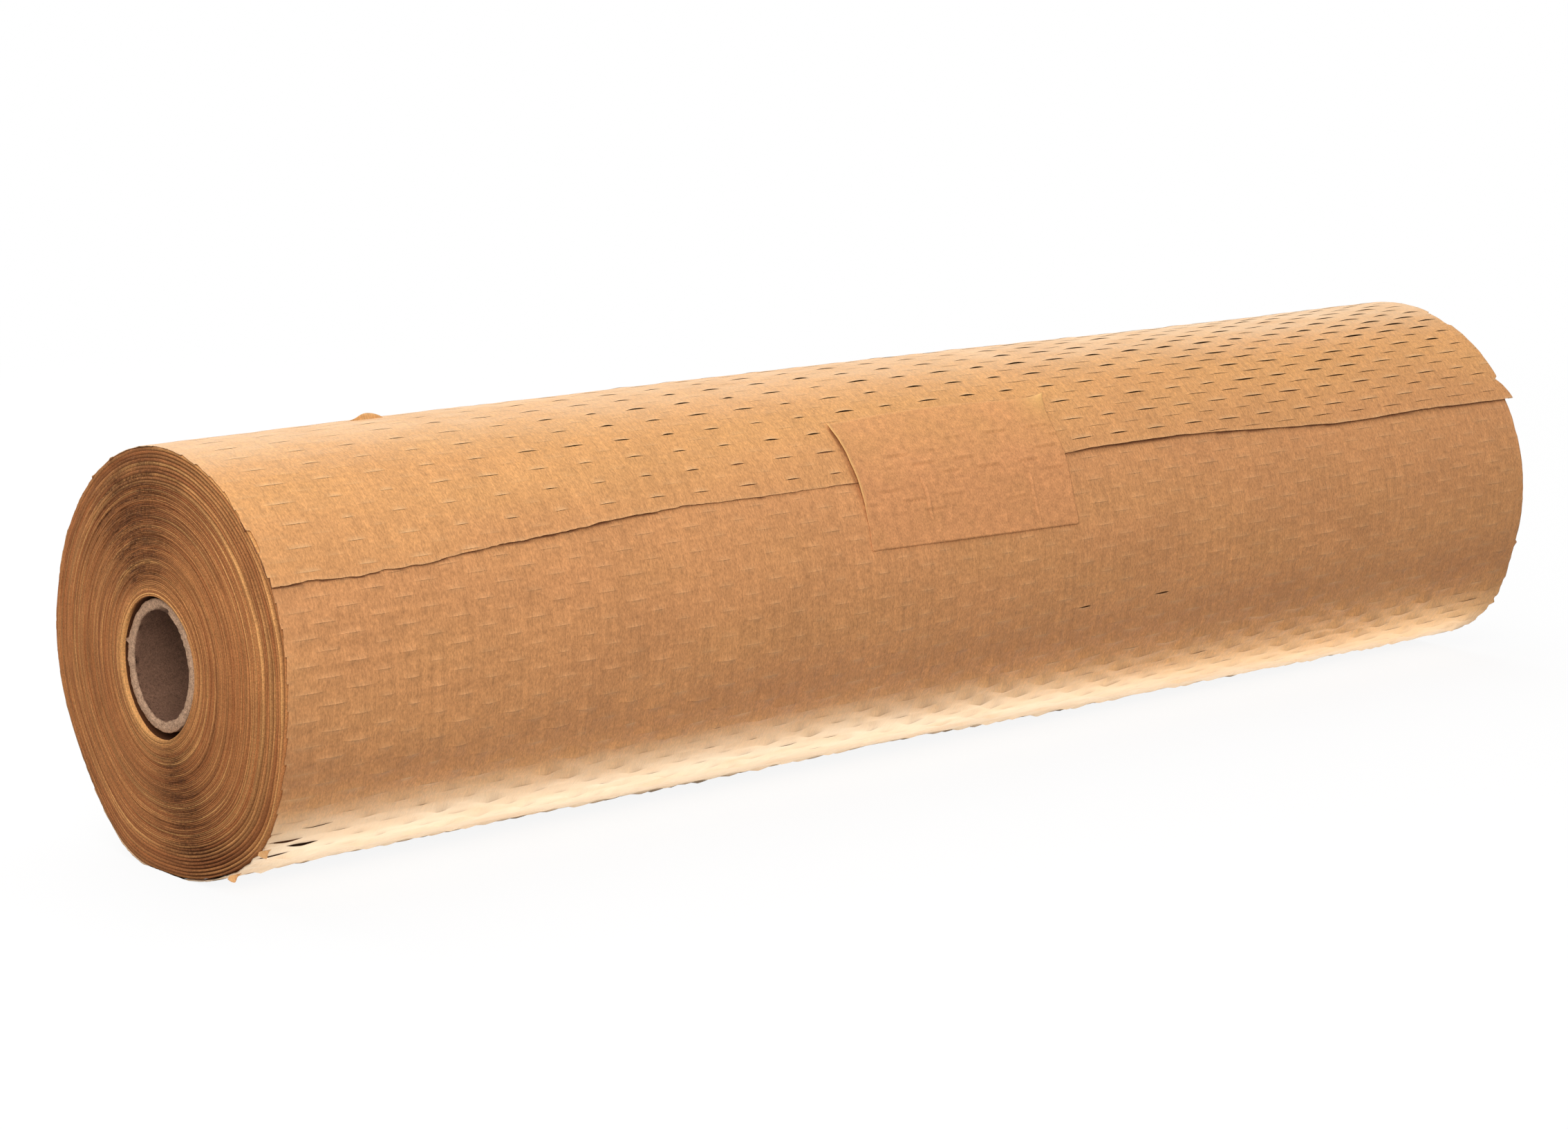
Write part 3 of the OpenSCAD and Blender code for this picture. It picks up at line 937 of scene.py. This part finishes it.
def windTurns(seed):
    # the spiral's points from the free edge inwards, with what they know of their place
    radii, loose = turnRadii()
    perTurn = spiral["perTurn"]
    wound = np.arange(spiral["turns"] * perTurn + 1) / perTurn  # turns in from the free edge
    degrees = spiral["startAngle"] + 360 * wound
    turnPlace = spiral["turns"] - wound
    middle = np.interp(turnPlace, np.arange(len(radii)), radii)
    length = np.cumsum(middle) * 2 * np.pi / perTurn  # paper from the free edge

    def alongPaper(name):
        return noiseOf(spiral, name, length, 0, seed)

    # the dark wedges painted as shade, which also crumble the turn edges a little
    crushed = sum(share * humpRound(degrees, angle, spread) for angle, spread, share in spiral["crushed"])
    crushed = crushed * ease(middle, *spiral["crushFrom"]) * lessened(middle, *spiral["rimCrush"])
    crushed = np.clip(crushed * noiseOf(spiral, "crushed", middle, degrees, seed), 0, 1)
    towardsEdge = sideOf("freeEdge", degrees)
    looseness = np.interp(turnPlace, np.arange(len(radii)), loose) * towardsEdge
    flare = fading(middle - boreRadius, *spiral["flare"]) * sideOf("flared", degrees)
    pitch = np.interp(turnPlace - 0.5, np.arange(len(radii) - 1) + 0.5, np.diff(radii))
    pitch = pitch * (1 - flare / spiral["flare"][1])
    pale = hump(middle, spiral["brightRing"], pitch / 2) * sideOf("pale", degrees)
    tall = alongPaper("stray") + alongPaper("strayShort") + alongPaper("strayFine")
    tall = tall * (1 + looseness) + crushed * alongPaper("crumbled") + spiral["paleOut"] * pale
    lastTurn = spiral["turns"] - 1
    return SimpleNamespace(
        degrees=degrees, middle=middle, alongPaper=alongPaper, crushed=crushed, pitch=pitch, flare=flare,
        towardsEdge=towardsEdge, looseness=looseness, pale=pale, tall=tall, sunny=sideOf("sunny", degrees),
        inmost=ease(wound, lastTurn, lastTurn + spiral["inmostEasing"]))


def turnPoints(wind, endX, facing, seed):
    # three rings of points: a turn's outer and inner corner, and the bottom of the gap inside it
    away = 1 - wind.towardsEdge
    (half, gain), (most, mostGain) = spiral["plyHalf"], spiral["plyShare"]
    half = np.minimum((most + mostGain * away) * wind.pitch, half + gain * away)
    depth = (spiral["gapDepth"] + spiral["looseGap"] * wind.looseness) * wind.alongPaper("depth")
    depth = depth * (spiral["gapAway"] + (1 - spiral["gapAway"]) * wind.towardsEdge)
    depth = depth * (1 - wind.inmost) + spiral["lining"][0] * wind.inmost
    gap = wind.pitch / 2 * (1 - spiral["inmostNarrow"] * wind.inmost)
    bundle = noiseOf(spiral, "bundle", wind.middle, wind.degrees, seed)
    rings = []
    for offset, sunk in ((half, 0), (-half, spiral["cornerDepth"]), (-gap, depth)):
        distance = wind.middle + wind.alongPaper("wobble") + offset + wind.flare
        lead = nearLead(distance, wind.degrees) if facing < 0 else -telescope * inwardShare(distance)
        out = lead + wind.tall + bundle - sunk
        rings.append(onRoll(endX + facing * out, np.radians(wind.degrees) * radius, distance))
    return np.stack(rings, 1)


def turnShades(wind, seed):
    # how bright each of the three rings is, painted golden as lit on the sunny side round the core, and how
    # dark: random darker edges, and painted shade at the bottom of the gap
    more, inmost = spiral["brighter"], wind.inmost
    bright = wind.alongPaper("bright") + wind.alongPaper("brightShort")
    bright = bright + more["spots"] * np.clip(wind.alongPaper("spots"), 0, 1)
    bright = bright + more["tall"] * np.clip(wind.tall, 0, None) + more["pale"] * wind.pale
    bright = bright + more["loose"] * wind.looseness + humps(wind.middle, spiral["brightNear"])
    bright = bright + wind.looseness * noiseOf(spiral, "looseBright", wind.middle, wind.degrees, seed)
    golden = wind.sunny * hump(wind.middle, boreRadius, spiral["goldenReach"])
    bright = np.clip(bright + more["golden"] * golden + more["inmost"] * inmost * wind.sunny, 0, 1)
    deeper = np.clip(wind.alongPaper("deeper"), 0, spiral["mostDeep"])
    dark = 1 - spiral["gapFade"] * np.maximum(inmost * wind.sunny, golden)
    dark = dark * (spiral["gapShade"] + (1 - spiral["gapShade"]) * wind.towardsEdge)
    return (np.stack([bright, bright, bright * np.maximum(inmost, golden)], 1).ravel(),
            np.stack([deeper, deeper + spiral["innerDeep"], dark], 1).ravel())


def buildEnd(name, endX, facing, seed):
    wind = windTurns(seed)
    perTurn = spiral["perTurn"]
    count = len(wind.degrees)
    points = turnPoints(wind, endX, facing, seed).reshape(-1, 3)
    index = np.arange(count * 3).reshape(count, 3)
    faces = [stripFaces(index[:, 0], index[:, 1]), stripFaces(index[:, 1], index[:, 2]),
             stripFaces(index[:-perTurn, 2], index[perTurn:, 0])]
    bright, gap = turnShades(wind, seed)
    brightLayer, gapLayer, total = [bright], [gap], [points]

    # a skirt behind the outermost turn and the face of the innermost one round the core, painted dark as
    # shade, except the first step of that face, painted golden as lit on the sunny side
    skirts = [(0, 0, spiral["lining"][-1:]), (count - perTurn - 1, 2, spiral["lining"][1:])]
    for start, ring, depths in skirts:
        front = index[start:start + perTurn + 1, ring]
        base = points[front]
        for step, depth in enumerate(depths):
            behind = base - (facing * depth, 0, 0)
            back = sum(len(part) for part in total) + np.arange(len(base))
            total.append(behind)
            sheet = wallFaces(front, back)
            faces.append(sheet if ring == 0 else sheet[:, ::-1])
            lit = wind.sunny[-perTurn - 1:] * (ring == 2 and step == 0)
            brightLayer.append(spiral["faceShade"] * lit)
            gapLayer.append(1 - lit)
            front = back
    faces = np.concatenate(faces)
    if facing < 0:
        faces = faces[:, ::-1]
    total = np.concatenate(total)
    # the dark wedges painted as shade
    wedgeShadeLayer = np.zeros(len(total))
    wedgeShadeLayer[:count * 3] = np.repeat(spiral["faceShade"] * wind.crushed, 3)
    makePiece(name, total, faces, plyEdgePaper, "paper_roll",
              layers={"bright": np.concatenate(brightLayer), "gap": np.concatenate(gapLayer),
                      "crushed": wedgeShadeLayer})


# The core: a wound board tube with a rough sawn rim and a torn notch

core = {
    "bore": 0.015,
    "around": 240,
    "rimSteps": 8,
    "rounding": 0.0004, "roundingPower": 0.4,
    "thicker": [(0, 40, 0.0006)], "thickerAngle": 190,  # one side of the wall
    "notchAngle": 74, "notchWidth": 3, "notchDepth": 0.0030,
    "notchTail": 14, "notchOut": 0.0016,
    "burrAngle": 166.0, "burrSpread": 1.6, "burrHeight": 0.0008, "burrReach": 0.0008,
    "lengths": (0.0006, 0.002, 0.006, 0.02, 0.06),  # rings along the tube, from either end
    "boreRough": 0.15, "outsideRough": 0.1,  # shares of the rim's roughness
    # noises: mean, swing, two cells, seed
    "noises": {"frayed": (0, 0.00024, 0.0011, 1.4, 70), "frayedWide": (0, 0.000144, 0.0028, 2, 71),
               "uneven": (0, 0.000096, 0.0009, 1.2, 72), "ragged": (0, 0.00022, 0.0012, 1, 74),
               "raggedFine": (0, 0.000132, 0.0005, 1, 75)},
}
wall = coreRadius - core["bore"]


def coreProfile(endX, inwards):
    # (x, distance from the axis, inside, rough) from the bore over the rim to the outside
    bore = core["bore"]
    profile = [(endX + inwards * back, bore, 1, core["boreRough"]) for back in reversed(core["lengths"])]
    for step in range(core["rimSteps"] + 1):
        share = step / core["rimSteps"]
        rounding = core["rounding"] * (1 - math.sin(math.pi * share) ** core["roundingPower"])
        profile.append((endX + inwards * rounding, bore + share * wall, 0.5 if step == 0 else 0, 1))
    outside = core["outsideRough"]
    return profile + [(endX + inwards * back, coreRadius, 0, outside) for back in core["lengths"]]


def buildCore():
    turn = np.linspace(0, 2 * np.pi, core["around"], endpoint=False)
    degrees = np.degrees(turn)
    profile = coreProfile(coreLow.x, 1) + coreProfile(coreHigh.x, -1)[::-1]
    fromNotch = wrapped(degrees - core["notchAngle"])
    notch = fading(np.clip(fromNotch, 0, None), ease(fromNotch, -core["notchWidth"], 0), core["notchTail"])
    thicker = humps(wrapped(degrees - core["thickerAngle"]), core["thicker"])
    burr = core["burrHeight"] * humpRound(degrees, core["burrAngle"], core["burrSpread"])
    points, inside = [], []
    for number, (x, distance, within, rough) in enumerate(profile):
        arc = turn * distance
        inwards = 1 if x < 0 else -1
        innerPart = max(0, 1 - (distance - core["bore"]) / (0.5 * wall))
        outerPart = max(0, 1 - (coreRadius - distance) / core["burrReach"])
        frayed = noiseOf(core, "frayed", arc, number) + noiseOf(core, "frayedWide", arc, number)
        away = x + inwards * rough * frayed
        radial = distance + rough * noiseOf(core, "uneven", arc, number)
        if rough == 1:
            radial = radial - innerPart * (noiseOf(core, "ragged", arc) + noiseOf(core, "raggedFine", arc))
        if rough == 1 and x < 0:
            away = away + core["notchDepth"] * notch * innerPart - burr * outerPart
            radial = radial + core["notchOut"] * notch * innerPart + burr * outerPart
        radial = radial + thicker * (distance - core["bore"]) / wall
        points.append(onRoll(away, turn * radius, radial))
        inside.append(np.full(core["around"], within))
    count = len(profile) * core["around"]
    last, first = np.arange(count - core["around"], count), np.arange(core["around"])
    closing = stripFaces(np.append(last, last[0]), np.append(first, first[0]))
    faces = np.concatenate([gridFaces(len(profile), core["around"], closed=True), closing])[:, ::-1]
    makePiece("core_board_tube", np.array(points), faces, coreBoard, "core_tube",
              layers={"inside": np.array(inside)})


# The closing sticker: laid over the free edge, its left edge and one corner lifted

sticker = {
    # corners: x, degrees
    "topLeft": (-0.0425, 54.7), "bottomLeft": (-0.0443, 14.3),
    "topRight": (0.0425, 54.3), "bottomRight": (0.0395, 12.9),
    "bow": 1.7,  # degrees that the top edge bows up
    "columns": 260, "rows": 90,
    "thickness": 0.00014,
    "clearance": 0.00032,  # height over the web
    "drape": 0.012,  # length below the free edge over which the sticker comes down
    "overEdge": [(0, 0.004, 0.00015)],
    # lifted sides: height and reach, then where along them
    "left": (0.0008, 0.0032), "leftFrom": (20, 33), "leftCalm": (0.55, 48, 55),
    "bottom": (0.00010, 0.0018), "bottomMore": 2.2, "bottomFrom": (0.2, 0.4, 0.7, 0.85),
    "right": (0.00022, 0.0015),
    "corner": (0.0030, 0.0035), "cornerDrawn": (0.0009, 0.0035),
    # creases: x, lowest and highest degrees, depth. Each one is a ridge beside a furrow.
    "creases": [(-0.0187, 20, 34, 0.00042), (0.0240, 14, 34, 0.00030), (0.0105, 16, 20, 0.00022)],
    "creaseForm": [(0.0006, 0.0004, 1), (0, 0.0004, -0.5)], "creaseEnd": 2,
    # slits of the web that press through: first and last row, half their length, and their form
    "pressedRows": (-4, 2), "pressedHalf": (0.0035, 0.0052),
    "pressedForm": [(-0.0005, 0.0004, 0.00026), (-0.0013, 0.0004, -0.00026)],
    "raggedSides": [(0, 0.02, 1), (1, 0.02, -1)],
    # painted highlights on the lifted left edge, the top edge and the curled corner, and the lower part
    # painted rosier as the front's shade
    "leftEdgeHighlight": [(0, 0.008, 0.75)], "topEdgeHighlight": [(1, 0.01, 0.2)], "cornerHighlight": (0.95, 0.0034),
    "lessRosy": (0.8, 30, 50),
    # where it holds the web down: along the roll, round it, and on the turn below the free edge
    "hold": 0.9, "heldAlong": (-0.0423, -0.0383, 0.0351, 0.0401),
    "heldRound": (14, 18, 51, 55), "heldBelow": (374, 378),
    # painted shadow on the web along its lifted left edge: place, spread, share, and where along that edge
    "shadow": [(-0.0001, 0.0005, 0.7)], "shadowFrom": (0.15, 0.4, 0.95, 1),
    # noises: mean, swing, two cells, seed
    "noises": {"ragged": (0, 0.00025, 4, 1, 90), "lines": (0, 0.00005, 0.004, 0.004, 91),
               "fineLines": (0, 0.00004, 0.0017, 0.02, 92), "pressed": (0.35, 1, 0.02, 1, 95),
               "creases": (0, 0.0006, 3, 1, 97)},
}


def impressedSlits(x, arc):
    # slits of the web below that have pressed through the sticker
    total = np.zeros_like(x)
    pitch = web["slitPitch"]
    firstRow, lastRow = sticker["pressedRows"]
    for number in range(firstRow, lastRow + 1):
        fromRow = arc - web["firstRow"] - number * web["rowStep"]
        shift = 0 if number % 2 == 0 else pitch / 2
        place = (x - web["slitPhase"] - shift + pitch / 2) % pitch - pitch / 2
        strength = np.clip(noiseOf(sticker, "pressed", x, number), 0, 1)
        strength = strength * (1 - ease(np.abs(place), *sticker["pressedHalf"]))
        total = total + strength * humps(fromRow, sticker["pressedForm"])
    return total


def stickerCreases(x, degrees):
    total = np.zeros_like(x)
    end = sticker["creaseEnd"]
    for creaseX, low, high, depth in sticker["creases"]:
        fromCrease = x - creaseX - noiseOf(sticker, "creases", degrees)
        strength = depth * plateau(degrees, low, low + end, high - end, high)
        total = total + strength * humps(fromCrease, sticker["creaseForm"])
    return total


def stickerLift(x, arc, u, degrees):
    # how far its left side, its lower edge and its right edge stand off
    left = fading(x - x[:, :1], *sticker["left"]) * ease(degrees, *sticker["leftFrom"])
    bottom = fading(arc - arc[:1], *sticker["bottom"])
    bottom = bottom * (1 + sticker["bottomMore"] * plateau(u, *sticker["bottomFrom"]))
    right = fading(x[:, -1:] - x, *sticker["right"])
    return left * lessened(degrees, *sticker["leftCalm"]) + bottom + right


def buildSticker(webX, webEdge):
    rows, columns = sticker["rows"], sticker["columns"]
    u = np.linspace(0, 1, columns)[None, :]
    v = np.linspace(0, 1, rows)[:, None]
    bottom = [sticker["bottomLeft"][i] * (1 - u) + sticker["bottomRight"][i] * u for i in range(2)]
    top = [sticker["topLeft"][i] * (1 - u) + sticker["topRight"][i] * u for i in range(2)]
    x = bottom[0] * (1 - v) + top[0] * v
    degrees = bottom[1] * (1 - v) + (top[1] + sticker["bow"] * 4 * u * (1 - u)) * v
    x = x + noiseOf(sticker, "ragged", degrees) * humps(u, sticker["raggedSides"])
    arc = np.radians(degrees) * radius
    fromEdge = arc - np.interp(x, webX, webEdge)
    fromCorner = np.hypot(x - x[-1, -1], arc - arc[-1, -1])
    # the sticker lies on the web: on the last turn above the free edge, on the turn below it beneath
    over = ease(fromEdge, -sticker["drape"], 0)
    distance = radius - web["inset"] - roll["plyStep"] * (1 - over) + sticker["clearance"]
    distance = distance + over * noiseOf(web, "bulge", x, arc)
    distance = distance + (1 - over) * noiseOf(web, "bulge", x, arc + turnArc)
    distance = distance + humps(fromEdge, sticker["overEdge"]) + fading(fromCorner, *sticker["corner"])
    distance = distance + stickerLift(x, arc, u, degrees) + stickerCreases(x, degrees)
    distance = distance + noiseOf(sticker, "lines", x, arc) + noiseOf(sticker, "fineLines", x, arc)
    distance = distance + impressedSlits(x, arc)
    drawn = arc - fading(fromCorner, *sticker["cornerDrawn"])
    sheets = [onRoll(x, drawn, distance - depth).reshape(-1, 3) for depth in (0, sticker["thickness"])]

    index = np.arange(rows * columns).reshape(rows, columns)
    border = np.concatenate([index[0], index[1:, -1], index[-1, -2::-1], index[-2::-1, 0]])
    under = gridFaces(rows, columns, rows * columns)[:, ::-1]
    faces = np.concatenate([gridFaces(rows, columns), under, wallFaces(border, border + rows * columns)])
    # painted highlights on the lifted left edge, the curled corner and the top edge
    wearAndHighlight = humps(u, sticker["leftEdgeHighlight"]) * ease(degrees, *sticker["leftFrom"])
    wearAndHighlight = np.maximum(wearAndHighlight, fading(fromCorner, *sticker["cornerHighlight"]))
    wearAndHighlight = np.maximum(wearAndHighlight, humps(v, sticker["topEdgeHighlight"]))
    frontShadeAndTone = lessened(degrees, *sticker["lessRosy"])
    unrolled = np.stack([x, arc], -1).reshape(-1, 2)
    makePiece("sticker_paper_sheet", np.concatenate(sheets), faces, stickerKraft,
              "closing_patch", np.concatenate([unrolled, unrolled]),
              {"wearAndHighlight": np.stack([wearAndHighlight, wearAndHighlight]), "frontShadeAndTone": np.stack([frontShadeAndTone, frontShadeAndTone])})


# Small torn bits that stand up from the web and its rims

tornBits = {
    # name: x, degrees, length along the roll, height, lean along the roll, curl, worn
    "top_flap": (-0.1795, 94.0, 0.0115, 0.0016, 0.0008, 1.2, 0.1),
    "low_rim_curl": (-0.2475, -43.5, 0.0040, 0.0022, -0.0014, 0.8, 0.3),
    "lowest_rim_curl": (-0.2465, -61.5, 0.0040, 0.0020, -0.0016, 0.9, 0.3),
}
bit = {
    "grid": 9,
    "narrower": 0.3, "pointed": 0.8,  # shares lost at the top, and at the sides
    "rooted": 0.0004,  # how deep its foot sits in the web
    "noises": {"edge": (0, 0.0003, 0.3, 0.3, 120)},
}


def buildTornBits():
    points, faces, unrolled, worn = [], [], [], []
    size = bit["grid"]
    u = np.linspace(-0.5, 0.5, size)[None, :]
    v = np.linspace(0, 1, size)[:, None]
    pointed = 1 - bit["pointed"] * (2 * u) ** 2
    for number, (x, degrees, length, height, lean, curl, wearAndHighlight) in enumerate(tornBits.values()):
        alongX = x + u * length * (1 - bit["narrower"] * v) + lean * v
        rise = height * np.sin(curl * v) / curl * pointed - bit["rooted"] * (1 - v)
        back = height * (1 - np.cos(curl * v)) / curl * pointed
        arc = np.radians(degrees) * radius + back + noiseOf(bit, "edge", u, v, number)
        points.append(onRoll(alongX, arc, radius + rise).reshape(-1, 3))
        faces.append(gridFaces(size, size, number * size * size))
        unrolled.append(np.stack(np.broadcast_arrays(alongX, arc), -1).reshape(-1, 2))
        worn.append(np.full(size * size, wearAndHighlight))
    total = np.concatenate(points)
    plain = np.zeros(len(total))
    makePiece("torn_bits", total, np.concatenate(faces), kraftPaper, "paper_roll",
              np.concatenate(unrolled),
              {"frontShadeAndTone": plain, "wearAndHighlight": np.concatenate(worn), "under": plain, "paintedHighlight": plain})


webX, webEdge = buildWeb()
buildTurnBelow()
buildEnd("turn_edges_near", nearX, -1, spiral["seeds"][0])
buildEnd("turn_edges_far", farX, 1, spiral["seeds"][1])
buildCore()
buildSticker(webX, webEdge)
buildTornBits()
print("roll dressed")


# Floor, light and camera

studio = {
    "floorHalf": 15.0,
    "floorShade": (0.88, 0.88, 0.88),
    "floorBounce": (0.32, 0.31, 0.30),  # what the floor throws back at the roll
    "whiteShare": 0.90,  # how much of the floor's look is plain white
    "whiteFrom": (0.5, 1.0),  # distances from the roll between which the rest turns white too
    "worldLevel": 0.41,
    # place, watts, metres across
    "lamps": {"overhead_softbox": ((0.1, 0.25, 1.6), 15.3, 1.6),
              "front_softbox": ((-1.05, -1.05, 0.8), 18, 1.2),
              "back_softbox": ((0.0, 1.2, 0.9), 7, 1.0)},
    # strips of light that the floor throws up in front of the roll: watts, metres wide, metres out
    "strips": [(0.058, 0.022, 0.050), (0.017, 0.014, 0.029)],
    "stripHeight": 0.0005,
}


def directRays(tree):
    # 1 for rays that show the background, and 0 for rays that light the roll
    path = tree.nodes.new("ShaderNodeLightPath")
    seen = combine(tree, "MAXIMUM", path.outputs["Is Camera Ray"], path.outputs["Is Glossy Ray"])
    return combine(tree, "MAXIMUM", seen, path.outputs["Is Transmission Ray"])


def mixShaders(tree, factor, first, second, outputKind):
    mix = tree.nodes.new("ShaderNodeMixShader")
    output = tree.nodes.new(outputKind)
    for socket, value in zip(mix.inputs, (factor, first, second)):
        tree.links.new(value, socket)
    tree.links.new(mix.outputs[0], output.inputs["Surface"])


def buildFloor():
    half = studio["floorHalf"]
    corners = [(-half, -half, 0), (half, -half, 0), (half, half, 0), (-half, half, 0)]
    material = bpy.data.materials.new("pale_floor")
    tree = emptyTree(material)
    diffuse = tree.nodes.new("ShaderNodeBsdfDiffuse")
    shade = mixColour(tree, directRays(tree), studio["floorBounce"], studio["floorShade"])
    tree.links.new(shade, diffuse.inputs["Color"])
    glow = tree.nodes.new("ShaderNodeEmission")
    away = tree.nodes.new("ShaderNodeVectorMath")
    away.operation = "LENGTH"
    tree.links.new(objectPlace(tree), away.inputs[0])
    white = fitRange(tree, away.outputs["Value"], *studio["whiteFrom"], studio["whiteShare"], 1)
    white = combine(tree, "MULTIPLY", directRays(tree), white)
    mixShaders(tree, white, diffuse.outputs[0], glow.outputs[0], "ShaderNodeOutputMaterial")
    mesh = bpy.data.meshes.new("floor")
    mesh.from_pydata(corners, [], [(0, 1, 2, 3)])
    mesh.materials.append(material)
    floor = bpy.data.objects.new("floor", mesh)
    bpy.context.scene.collection.objects.link(floor)


def buildWorld():
    world = bpy.data.worlds.new("studio")
    bpy.context.scene.world = world
    tree = emptyTree(world)
    light, white = [tree.nodes.new("ShaderNodeBackground") for _ in range(2)]
    for background in (light, white):
        background.inputs["Color"].default_value = (1, 1, 1, 1)
    light.inputs["Strength"].default_value = studio["worldLevel"]
    mixShaders(tree, directRays(tree), light.outputs[0], white.outputs[0], "ShaderNodeOutputWorld")


def pointAt(thing, target):
    thing.rotation_euler = (Vector(target) - thing.location).to_track_quat("-Z", "Y").to_euler()


def addLamp(name, place, target, power, width, height):
    lamp = bpy.data.lights.new(name, "AREA")
    lamp.shape = "RECTANGLE"
    lamp.size = width
    lamp.size_y = height
    lamp.energy = power
    thing = bpy.data.objects.new(name, lamp)
    bpy.context.scene.collection.objects.link(thing)
    thing.location = place
    pointAt(thing, target)
    thing.visible_camera = False


buildFloor()
buildWorld()
for name, (place, power, across) in studio["lamps"].items():
    addLamp(name, place, (0, 0, axisHeight), power, across, across)
for power, width, out in studio["strips"]:
    addLamp("floor_glow", (0, -out, studio["stripHeight"]), (0, -out, 1), power, roll["width"], width)

view = {"place": (-0.77682, -0.87709, 0.27868), "target": (-0.02949, 0.0, 0.05962), "lens": 87.87,
        "sensor": 36, "clipStart": 0.01}
camera = bpy.data.objects.new("camera", bpy.data.cameras.new("camera"))
bpy.context.scene.collection.objects.link(camera)
camera.location = view["place"]
pointAt(camera, view["target"])
camera.data.lens = view["lens"]
camera.data.sensor_width = view["sensor"]
camera.data.clip_start = view["clipStart"]
bpy.context.scene.camera = camera
bpy.context.scene.view_settings.view_transform = "Standard"
print("studio built")
